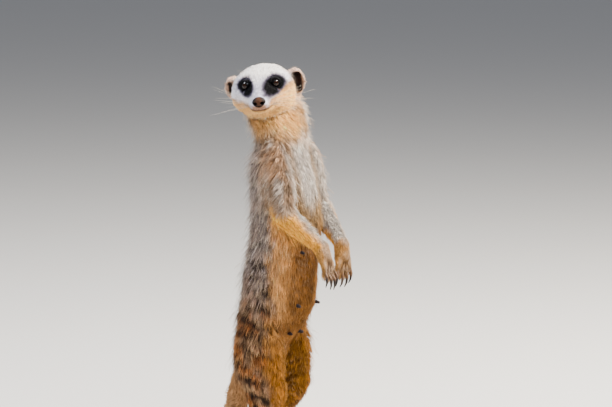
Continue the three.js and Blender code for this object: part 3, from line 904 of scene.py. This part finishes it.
def paw_colour(points, normals):
    """Tan and paler in front, with dark lines of painted shade between the toes and darker hair over the
    claws' roots.
    """
    away = points[:, None] - TOE_ENDS
    along = np.sum(away * TOE_WAYS, axis=2)
    aside = lengths(away - along[..., None] * TOE_WAYS) + np.maximum(0, np.abs(along) - TOE_LENGTH)
    nearest = np.sort(aside, axis=1)
    from_end = np.take_along_axis(along, aside.argmin(axis=1)[:, None], axis=1)[:, 0]
    # Dark lines between the toes are painted shade of the gaps between them.
    between = ramp(nearest[:, 1] - nearest[:, 0], 2.2 * MM, 0.5 * MM) * ramp(from_end, TOE_LENGTH, 8 * MM)
    by_claw = ramp(lengths(away).min(axis=1), 6 * MM, 2 * MM)
    facing = 0.5 * normals[:, 2] - 0.85 * normals[:, 1] + 0.15 * noise(points, "paw")
    tan = mix(PAW, ARM_PALE, 0.45 * ramp(facing, 0.5, 1.05))
    return mix(tan, TOE_GAP_SHADE_AND_DARK_HAIR, np.maximum(0.85 * between, 0.5 * by_claw))


def tail_colour(points):
    tip = ramp(lengths(points - centre("tail_4")), 34 * MM, 20 * MM)
    rings = 0.25 * ramp(noise(points, "tail"), 0.1, 0.7)
    return layered(TAIL_COAT, (BAND, rings), (TAIL_TIP, tip))


def markings(points, normals, zones):
    """The coat's colour, where zones says how much each kind of node counts."""
    body = body_colour(points, normals)
    paws = np.broadcast_to(PAW, points.shape).copy()
    on_paw = zones[:, KINDS.index("hand")] + zones[:, KINDS.index("foot")] > 0.01
    paws[on_paw] = paw_colour(points[on_paw], normals[on_paw])
    colours = {
        "head": head_colour(points),
        "ear": ear_colour(points),
        "neck": neck_colour(points, normals),
        "trunk": body,
        "upper_arm": upper_arm_colour(points, normals),
        "forearm": forearm_colour(points, normals),
        "hand": paws,
        "thigh": body,
        "shank": body,
        "foot": paws,
        "tail": tail_colour(points),
    }
    return sum(colours[kind] * zones[:, index, None] for index, kind in enumerate(KINDS))


# ---- coat ----


def unwrap(mesh):
    """Unwraps the skin by its own shape into the map that the coat shares."""
    made = new_object("unwrapping", mesh)
    bpy.context.view_layer.objects.active = made
    made.select_set(True)
    mesh.uv_layers.new(name="OFBake")
    bpy.ops.object.mode_set(mode="EDIT")
    bpy.ops.mesh.select_all(action="SELECT")
    bpy.ops.uv.smart_project(angle_limit=math.radians(66), island_margin=0.002)
    bpy.ops.object.mode_set(mode="OBJECT")
    bpy.data.objects.remove(made)
    return read(mesh.uv_layers["OFBake"].uv, "vector", 2)


class Roots:
    """Where tufts grow: places spread over the skin by density."""

    def __init__(self, skin, uv, amount, rng):
        corners = skin.co[skin.tris]
        cross = np.cross(corners[:, 1] - corners[:, 0], corners[:, 2] - corners[:, 0])
        room = lengths(cross) / 2 * skin.dense[skin.tris].min(axis=1)
        total = np.cumsum(room)
        marks = (np.arange(amount) + rng.uniform(0, 1, amount)) * total[-1] / amount
        chosen = np.minimum(np.searchsorted(total, marks), len(room) - 1)
        split = rng.uniform(0, 1, (amount, 2))
        flip = split.sum(axis=1) > 1
        split[flip] = 1 - split[flip]
        self.weights = np.column_stack([1 - split.sum(axis=1), split])
        self.tris = skin.tris[chosen]
        self.at = self.carry(skin.co)
        self.normal = unit(self.carry(skin.normals))
        self.flow = tangent(self.carry(skin.flow), self.normal)
        self.zones = self.carry(skin.zones)
        self.patch = np.einsum("rk,rkc->rc", self.weights, uv[skin.loops[chosen]])

    def carry(self, values):
        """Values at the skin's vertices, carried to the roots."""
        return np.einsum("rk,rk...->r...", self.weights, values[self.tris])


def laid(points, height, tree, skin):
    """Points moved to stand at a height over the skin, as a share of the coat's reach."""
    near = nearest_in(tree, points)
    normal = skin.normals[near]
    over = np.sum((points - skin.co[near]) * normal, axis=1)
    wanted = np.maximum(skin.reach[near], 0.3 * MM) * skin.rise[near] * height
    return points + normal * (wanted - over)[:, None]


def spike_faces(rings):
    """The faces of a three-sided spike, whose points come ring after ring and then its tip."""
    sides = ((0, 1), (1, 2), (2, 0))
    last = 3 * (rings - 1)
    faces = [(0, 2, 1)]
    for low in range(0, last, 3):
        high = low + 3
        for a, b in sides:
            faces += [(low + a, low + b, high + b), (low + a, high + b, high + a)]
    faces += [(last + a, last + b, last + 3) for a, b in sides]
    return np.array(faces)


def all_faces(verts):
    """The faces of all the spikes whose points are given."""
    count, size = verts.shape[:2]
    return (spike_faces(size // 3)[None] + (np.arange(count) * size)[:, None, None]).reshape(-1, 3)


def tufts(skin, uv, tree, coat, amount, rng):
    """One coat's tufts: their points and colours, and their patches on the unwrap."""
    roots = Roots(skin, uv, amount, rng)
    at, normal = roots.at, roots.normal
    untidy = roots.carry(skin.untidy)
    swing = untidy * (1.2 * noise(at, "lie of hair") + 0.8 * rng.normal(0, 1, amount))
    side = np.cross(normal, roots.flow)
    way = unit(roots.flow * np.cos(swing)[:, None] + side * np.sin(swing)[:, None])
    side = np.cross(normal, way)
    length = roots.carry(skin.length) * coat["long"] * rng.uniform(0.75, 1.2, amount)
    wide = roots.carry(skin.wide) * coat["wide"] * rng.uniform(0.8, 1.2, amount)
    height = np.where(rng.uniform(0, 1, amount) < 0.12, 1.25, rng.uniform(0.45, 1.05, amount))
    wisp = (rng.uniform(0, 1, amount) < coat["wisps"]) * roots.carry(skin.wispy)
    height = height + wisp * rng.uniform(0.4, 1.6, amount)
    seeds = rng.permutation(amount)[: amount // CLUMP]
    seed = seeds[nearest_in(tree_of(at[seeds]), at)]
    locks = roots.carry(skin.clumpy)
    height = height * (1 + 0.9 * locks * rng.uniform(-1, 0.8, amount)[seed])

    tip = at + way * length[:, None] + side * (rng.normal(0, 0.3, amount) * untidy * length)[:, None]
    pull = locks * (lengths(at[seed] - at) < CLUMP_REACH)
    tip += (tip[seed] - tip) * pull[:, None]
    stand = roots.carry(skin.stand) * coat["stand"] * rng.uniform(0.3, 1.2, amount)
    over_claw = roots.carry(skin.over_claw)
    tip = laid(tip, height, tree, skin) + normal * stand[:, None] + over_claw
    middle = laid((at + tip) / 2 + normal * MM, 0.62 * height, tree, skin) + 0.4 * over_claw

    def spine(share):
        """The tuft's middle line: a curve from the root through its middle to the tip."""
        from_root = (at - normal * 0.25 * MM) * (1 - share) * (1 - 2 * share)
        return from_root + middle * 4 * share * (1 - share) + tip * share * (2 * share - 1)

    verts = []
    for share, girth in zip(coat["rings"], coat["girth"]):
        centre_line = spine(share)
        half = side * (wide * girth)[:, None]
        ridge = normal * (wide * girth * 0.7)[:, None]
        verts += [centre_line - half, centre_line + half, centre_line + ridge]
    verts = np.stack([*verts, tip], axis=1)
    verts[..., 2] = np.maximum(verts[..., 2], 0)

    shares = np.append(np.repeat(coat["rings"], 3), 1.0)
    colours = tuft_colours(middle, roots, seed, shares, rng)
    across = np.append(np.tile((-0.4, 0.4, 0.0), len(coat["rings"])), 0.0)
    patch = roots.patch[:, None] + PATCH * np.column_stack([across, shares - 0.5])
    return verts, colours, patch


def tuft_colours(middle, roots, seed, shares, rng):
    """Dark at the root, as painted shade deep in the coat and, on grizzled fur, the dark base of banded hair;
    the marking's colour in the middle; and a dark tip or a pale one, whose brightness is partly a painted
    highlight of sunlit tips.
    """
    amount = len(middle)
    base = markings(middle, roots.normal, roots.zones)
    grizzled = roots.zones @ np.array([kind in GRIZZLED for kind in KINDS], float)
    grizzled = grizzled * (1 - 0.75 * back_edge(middle))
    clump_tone = rng.normal(0, 1, amount)[seed]
    tone = (0.14 + 0.42 * grizzled) * clump_tone + (0.12 + 0.12 * grizzled) * rng.normal(0, 1, amount)
    base = base * np.clip(np.exp(tone), 0.35, 2.1)[:, None]
    dark_tip = (rng.uniform(0, 1, amount)[seed] < 0.31) * grizzled * 0.75
    pale_clump = 0.15 + 0.8 * (rng.uniform(0, 1, amount)[seed] < 0.5)
    off_band = ramp(base.mean(axis=1), 0.01, 0.09)
    low = ramp(middle[:, 2] + 12 * MM * noise(middle, "gold"), *GOLD_AT)
    pale_clump *= 1 - 0.25 * low
    # Pale tips are the real pale band of grizzled hair, brightened to the colour of sunlit tips as a painted
    # highlight.
    pale_tip = (pale_clump * rng.uniform(0.5, 1.0, amount) * grizzled + 0.06) * (0.1 + 0.9 * off_band)
    tip = layered(base, (mix(PALE_TIP, GOLD_TIP, 0.85 * low), pale_tip), (BAND, dark_tip))
    # Roots darkened to 0.42 of the marking are painted shade deep in the coat; on grizzled fur they also turn
    # to the dark base of banded hair.
    root = mix(base * 0.42, BAND, 0.6 * grizzled)
    light = ramp(shares, 0.05, 0.6)
    tipped = ramp(shares, 0.45, 1.0)
    return np.stack([mix(mix(root, base, a), tip, b) for a, b in zip(light, tipped)], axis=1)


def build_coats(skin, uv, material):
    """The undercoat and the guard hairs, each in pieces that reach over the whole animal."""
    tree = tree_of(skin.co)
    rng = np.random.default_rng(SEED)
    for name, coat in (("undercoat", UNDERCOAT), ("guard_hairs", GUARD_HAIRS)):
        amount = coat["tufts"]
        verts, colours, patch = tufts(skin, uv, tree, coat, amount, rng)
        for number, chosen in enumerate(np.array_split(rng.permutation(amount), coat["pieces"])):
            indices = all_faces(verts[chosen])
            mesh = mesh_from(f"{name}_{number + 1}", verts[chosen], indices)
            paint(mesh, colours[chosen].reshape(-1, 3))
            layer = mesh.uv_layers.new(name="OFBake")
            spots = patch[chosen].reshape(-1, 2)[indices.ravel()]
            layer.uv.foreach_set("vector", spots.astype(np.float32).ravel())
            place(new_object(mesh.name, mesh), material, "coat")


# ---- materials ----


def new_material(name, roughness):
    material = bpy.data.materials.new(name)
    material.use_nodes = True
    shader = material.node_tree.nodes["Principled BSDF"]
    shader.inputs["Roughness"].default_value = roughness
    return material, shader


def painted(name, roughness, specular, bump=None):
    """A material coloured by the painted markings; bump is a grain's size, strength and depth."""
    material, shader = new_material(name, roughness)
    nodes, links = material.node_tree.nodes, material.node_tree.links
    shader.inputs["Specular IOR Level"].default_value = specular
    colour = nodes.new("ShaderNodeVertexColor")
    colour.layer_name = "markings"
    links.new(colour.outputs["Color"], shader.inputs["Base Color"])
    if bump:
        size, strength, distance = bump
        grain = nodes.new("ShaderNodeTexNoise")
        grain.inputs["Scale"].default_value = 1 / size
        grain.inputs["Detail"].default_value = 3
        place_at = nodes.new("ShaderNodeTexCoord")
        links.new(place_at.outputs["Object"], grain.inputs["Vector"])
        height = nodes.new("ShaderNodeBump")
        height.inputs["Strength"].default_value = strength
        height.inputs["Distance"].default_value = distance
        links.new(grain.outputs["Fac"], height.inputs["Height"])
        links.new(height.outputs["Normal"], shader.inputs["Normal"])
    return material


# ---- eyes, nose, claws, teats, whiskers ----


WHISKER_THICK = 0.12
WHISKER_RINGS = 6


def build_eye(name, side, material):
    """A ball with a clear bulge over the iris, as one glossy piece."""
    bm = bmesh.new()
    bmesh.ops.create_uvsphere(bm, u_segments=48, v_segments=39, radius=1)
    globe = mesh_of(bm, "globe")
    way, _, faces, _ = arrays_of(globe)
    bpy.data.meshes.remove(globe)
    out, sight, up = eye_axes(side)
    from_sight = np.degrees(np.arccos(np.clip(way[:, 2], -1, 1)))
    radius = EYE_RADIUS / MM * (1 + 0.05 * ramp(from_sight, 42, 20))
    co = from_head(EYES[side] + way * radius[:, None] @ np.stack([out, up, sight]))
    if np.sum(normals_of(co, faces) * (co - from_head(EYES[side])), axis=1).mean() < 0:
        faces = faces[:, ::-1]
    mesh = mesh_from(f"eye_{name}_ball", co, faces)
    pupil = np.hypot(way[:, 0] / 0.24, way[:, 1] / 0.15)
    colour = mix(PUPIL, mix(IRIS, IRIS_EDGE, ramp(from_sight, 13, 26)), ramp(pupil, 0.85, 1.1))
    paint(mesh, mix(colour, EYE_RIM, ramp(from_sight, 30, 36)))
    return place(new_object(mesh.name, mesh), material, "eye", f"eye_{name}")


def rounded(name, nodes, grown, voxel, rounds, relief=None):
    """Solids made fine and smooth as one mesh, with a relief pressed into it."""
    mesh = remeshed([grown_copy(node, grown) for node in nodes], voxel, name)
    co, edges, tris, _ = arrays_of(mesh)
    co = smoothed(co, edges, rounds)
    if relief:
        co = co - normals_of(co, tris) * relief(co)[:, None]
    set_points(mesh, co)
    return mesh


def finish(mesh, colour, material, slot, *nodes):
    """Paints a mesh by a function of its points and puts it in place of those nodes."""
    paint(mesh, colour(read(mesh.vertices, "co", 3)))
    return place(new_object(mesh.name, mesh), material, slot, *nodes)


def nostrils(local):
    """1 in the comma-shaped nostrils at the front of the nose, 0 off them."""
    left, up = np.abs(local[:, 0]), local[:, 2]
    hole = np.hypot((left - 2.5) / 1.2, (up + 2.7) / 1.3)
    slit = np.hypot((left - 4.0) / 1.7, (up + 2.4 - 0.35 * (left - 4.0)) / 0.6)
    return np.maximum(ramp(hole, 1.15, 0.6), 0.8 * ramp(slit, 1.15, 0.6)) * ramp(local[:, 1], 46.5, 48)


def nose_relief(points):
    """How deep the nostrils and the groove between them are."""
    local = to_head(points)
    groove = ramp(np.abs(local[:, 0]), 0.7, 0.1) * ramp(local[:, 2], -0.5, -3) * ramp(local[:, 1], 46.5, 48)
    return (1.5 * nostrils(local) + 0.45 * groove) * MM


def nose_colour(points):
    local = to_head(points)
    from_top = np.abs(local[:, 0]) + 0.6 * np.abs(local[:, 2] + 1)
    # The lighter top middle of the leather is a painted highlight, and the near-black nostrils are painted
    # shade of their openings.
    leather = mix(NOSE_HIGHLIGHT, NOSE_LEATHER, ramp(from_top, 1.8, 4.4))
    return mix(leather, NOSTRIL_SHADE, np.minimum(1, 1.4 * nostrils(local)))


def claw_colour(points):
    """Near black, with a brown base that the toe's hair runs over."""
    horn = mix(CLAW_HORN, CLAW_STREAK, ramp(noise(points, "claw"), -0.4, 0.8))
    from_toe = lengths(points[:, None] - TOE_ENDS).min(axis=1)
    return mix(horn, CLAW_ROOT, 0.8 * ramp(from_toe, 6.5 * MM, 3.5 * MM))


def teat_colour(points):
    return mix(TEAT, TEAT_PATCH, ramp(noise(points, "teat"), -0.2, 0.9))


def whisker(root, way, length, sag):
    """The points of a tapering hair in the head's frame, ring after ring and then its tip."""
    side = unit(np.cross(way, (0, 0, 1)))
    top = np.cross(side, way)
    turn = np.radians((330, 210, 90))
    ring = WHISKER_THICK * (np.outer(np.cos(turn), side) + np.outer(np.sin(turn), top))
    points = []
    for level in np.linspace(0, 1, WHISKER_RINGS, endpoint=False):
        points.append(root + way * length * level + top * sag * level**2 + ring * (1 - 0.85 * level))
    return np.concatenate([*points, (root + way * length + top * sag)[None]])


def build_whiskers(material):
    """Long fine hairs on the sides of the muzzle, in three rows of three, and two over each eye."""
    rng = np.random.default_rng(SEED + 1)
    hairs = []
    for side in (1, -1):
        for row, step in np.ndindex(3, 3):
            root = np.array((side * (7.4 + 0.3 * step), 42 - 2.6 * step, -2.8 - 1.9 * row))
            way = unit(np.array((side, -0.25 - 0.18 * step, 0.28 - 0.22 * row)))
            hairs.append(whisker(root, way, rng.uniform(28, 44), rng.uniform(-6, 1)))
        for brow in range(2):
            root = np.array((side * (9 + 3 * brow), 23 - 2 * brow, 12.5))
            hairs.append(whisker(root, unit(np.array((side * 0.45, 0.15, 1.0))), 10, -2))
    verts = from_head(np.array(hairs))
    mesh = mesh_from("whiskers", verts, all_faces(verts))
    paint(mesh, WHISKER)
    return place(new_object("whiskers", mesh), material, "coat")


# ---- stage ----

AIM = centre("trunk") + np.array((12.7, -18.25, 38.67)) * MM
CAMERA_TURN = -57  # degrees round the animal from its front, to its right
CAMERA_RISE = 7
CAMERA_AWAY = 2.833
LENS = 200
# Each light's turn and rise in degrees, distance, size, power and colour.
LIGHTS = {
    "key": (32, 50, 1.5, 0.25, 100, (1.0, 0.92, 0.8)),
    "front": (-40, 48, 1.7, 0.6, 11, (0.9, 0.94, 1.0)),
    "back": (-142, 48, 1.8, 0.6, 36, (0.9, 0.93, 1.0)),
}
SKY = (0.86, 0.9, 1.0, 1)
SKY_STRENGTH = 0.28
FLOOR = (0.72, 0.71, 0.69, 1)
FLOOR_REACH = 9


def stand_off(made, turn, rise, away):
    """Puts a camera or a light so far away in that direction, looking back at the animal."""
    turn, rise = math.radians(turn), math.radians(rise)
    way = np.array((math.sin(turn) * math.cos(rise), -math.cos(turn) * math.cos(rise), math.sin(rise)))
    made.location = AIM + way * away
    made.rotation_euler = (math.pi / 2 - rise, 0, turn)


def add_camera():
    data = bpy.data.cameras.new("camera")
    data.lens = LENS
    data.sensor_width = 36
    data.clip_end = 60
    camera = new_object("camera", data)
    stand_off(camera, CAMERA_TURN, CAMERA_RISE, CAMERA_AWAY)
    bpy.context.scene.camera = camera


def add_light(name, turn, rise, away, size, power, colour):
    data = bpy.data.lights.new(name, "AREA")
    data.size = size
    data.energy = power
    data.color = colour
    light = new_object(name, data)
    stand_off(light, turn, rise, away)


def add_stage():
    corners = np.array([(-1, -1, 0), (1, -1, 0), (1, 1, 0), (-1, 1, 0)], float) * FLOOR_REACH
    mesh = mesh_from("floor", corners, np.array([(0, 1, 2, 3)]))
    floor = new_object("floor", mesh)
    material, shader = new_material("floor", 0.9)
    shader.inputs["Base Color"].default_value = FLOOR
    mesh.materials.append(material)
    world = bpy.data.worlds.new("studio")
    world.use_nodes = True
    sky = world.node_tree.nodes["Background"]
    sky.inputs["Color"].default_value = SKY
    sky.inputs["Strength"].default_value = SKY_STRENGTH
    bpy.context.scene.world = world
    for name, values in LIGHTS.items():
        add_light(name, *values)


# ---- assembly ----


def build():
    fur = painted("fur", roughness=0.65, specular=0.12)
    skin_finish = painted("skin", roughness=0.85, specular=0.05, bump=(1.1 * MM, 0.5, 0.3 * MM))
    skin = Skin()
    uv = unwrap(skin.mesh)
    # The skin takes the markings darkened to 0.8, as painted shade of the coat over it; round the eyes and
    # the nose it is dark skin.
    bare = markings(skin.co, skin.normals, skin.zones) * 0.8
    dark = np.maximum(ramp(from_eyes(skin.local), 9, 7), ramp(lengths(skin.local - NOSE), 5.4, 4.6))
    paint(skin.mesh, mix(bare, EYE_PATCH * 0.6, dark))
    place(new_object("skin", skin.mesh), skin_finish, "coat", *FLESH)
    build_coats(skin, uv, fur)
    gloss = painted("eye", roughness=0.1, specular=0.26)
    build_eye("left", 1, gloss)
    build_eye("right", -1, gloss)
    damp = painted("bare skin", roughness=0.6, specular=0.16, bump=(0.6 * MM, 0.6, 0.12 * MM))
    nose = rounded("nose_pad", ["nose"], grown=0.25 * MM, voxel=0.22 * MM, rounds=40, relief=nose_relief)
    finish(nose, nose_colour, damp, "bare_skin", "nose")
    teats = rounded("teats", TEATS, grown=0, voxel=0.25 * MM, rounds=4)
    finish(teats, teat_colour, damp, "bare_skin", *TEATS)
    claws = rounded("claws", CLAWS, grown=0.1 * MM, voxel=0.2 * MM, rounds=4)
    finish(claws, claw_colour, painted("claw", roughness=0.5, specular=0.3), "claw", *CLAWS)
    build_whiskers(fur)


build()
add_camera()
add_stage()
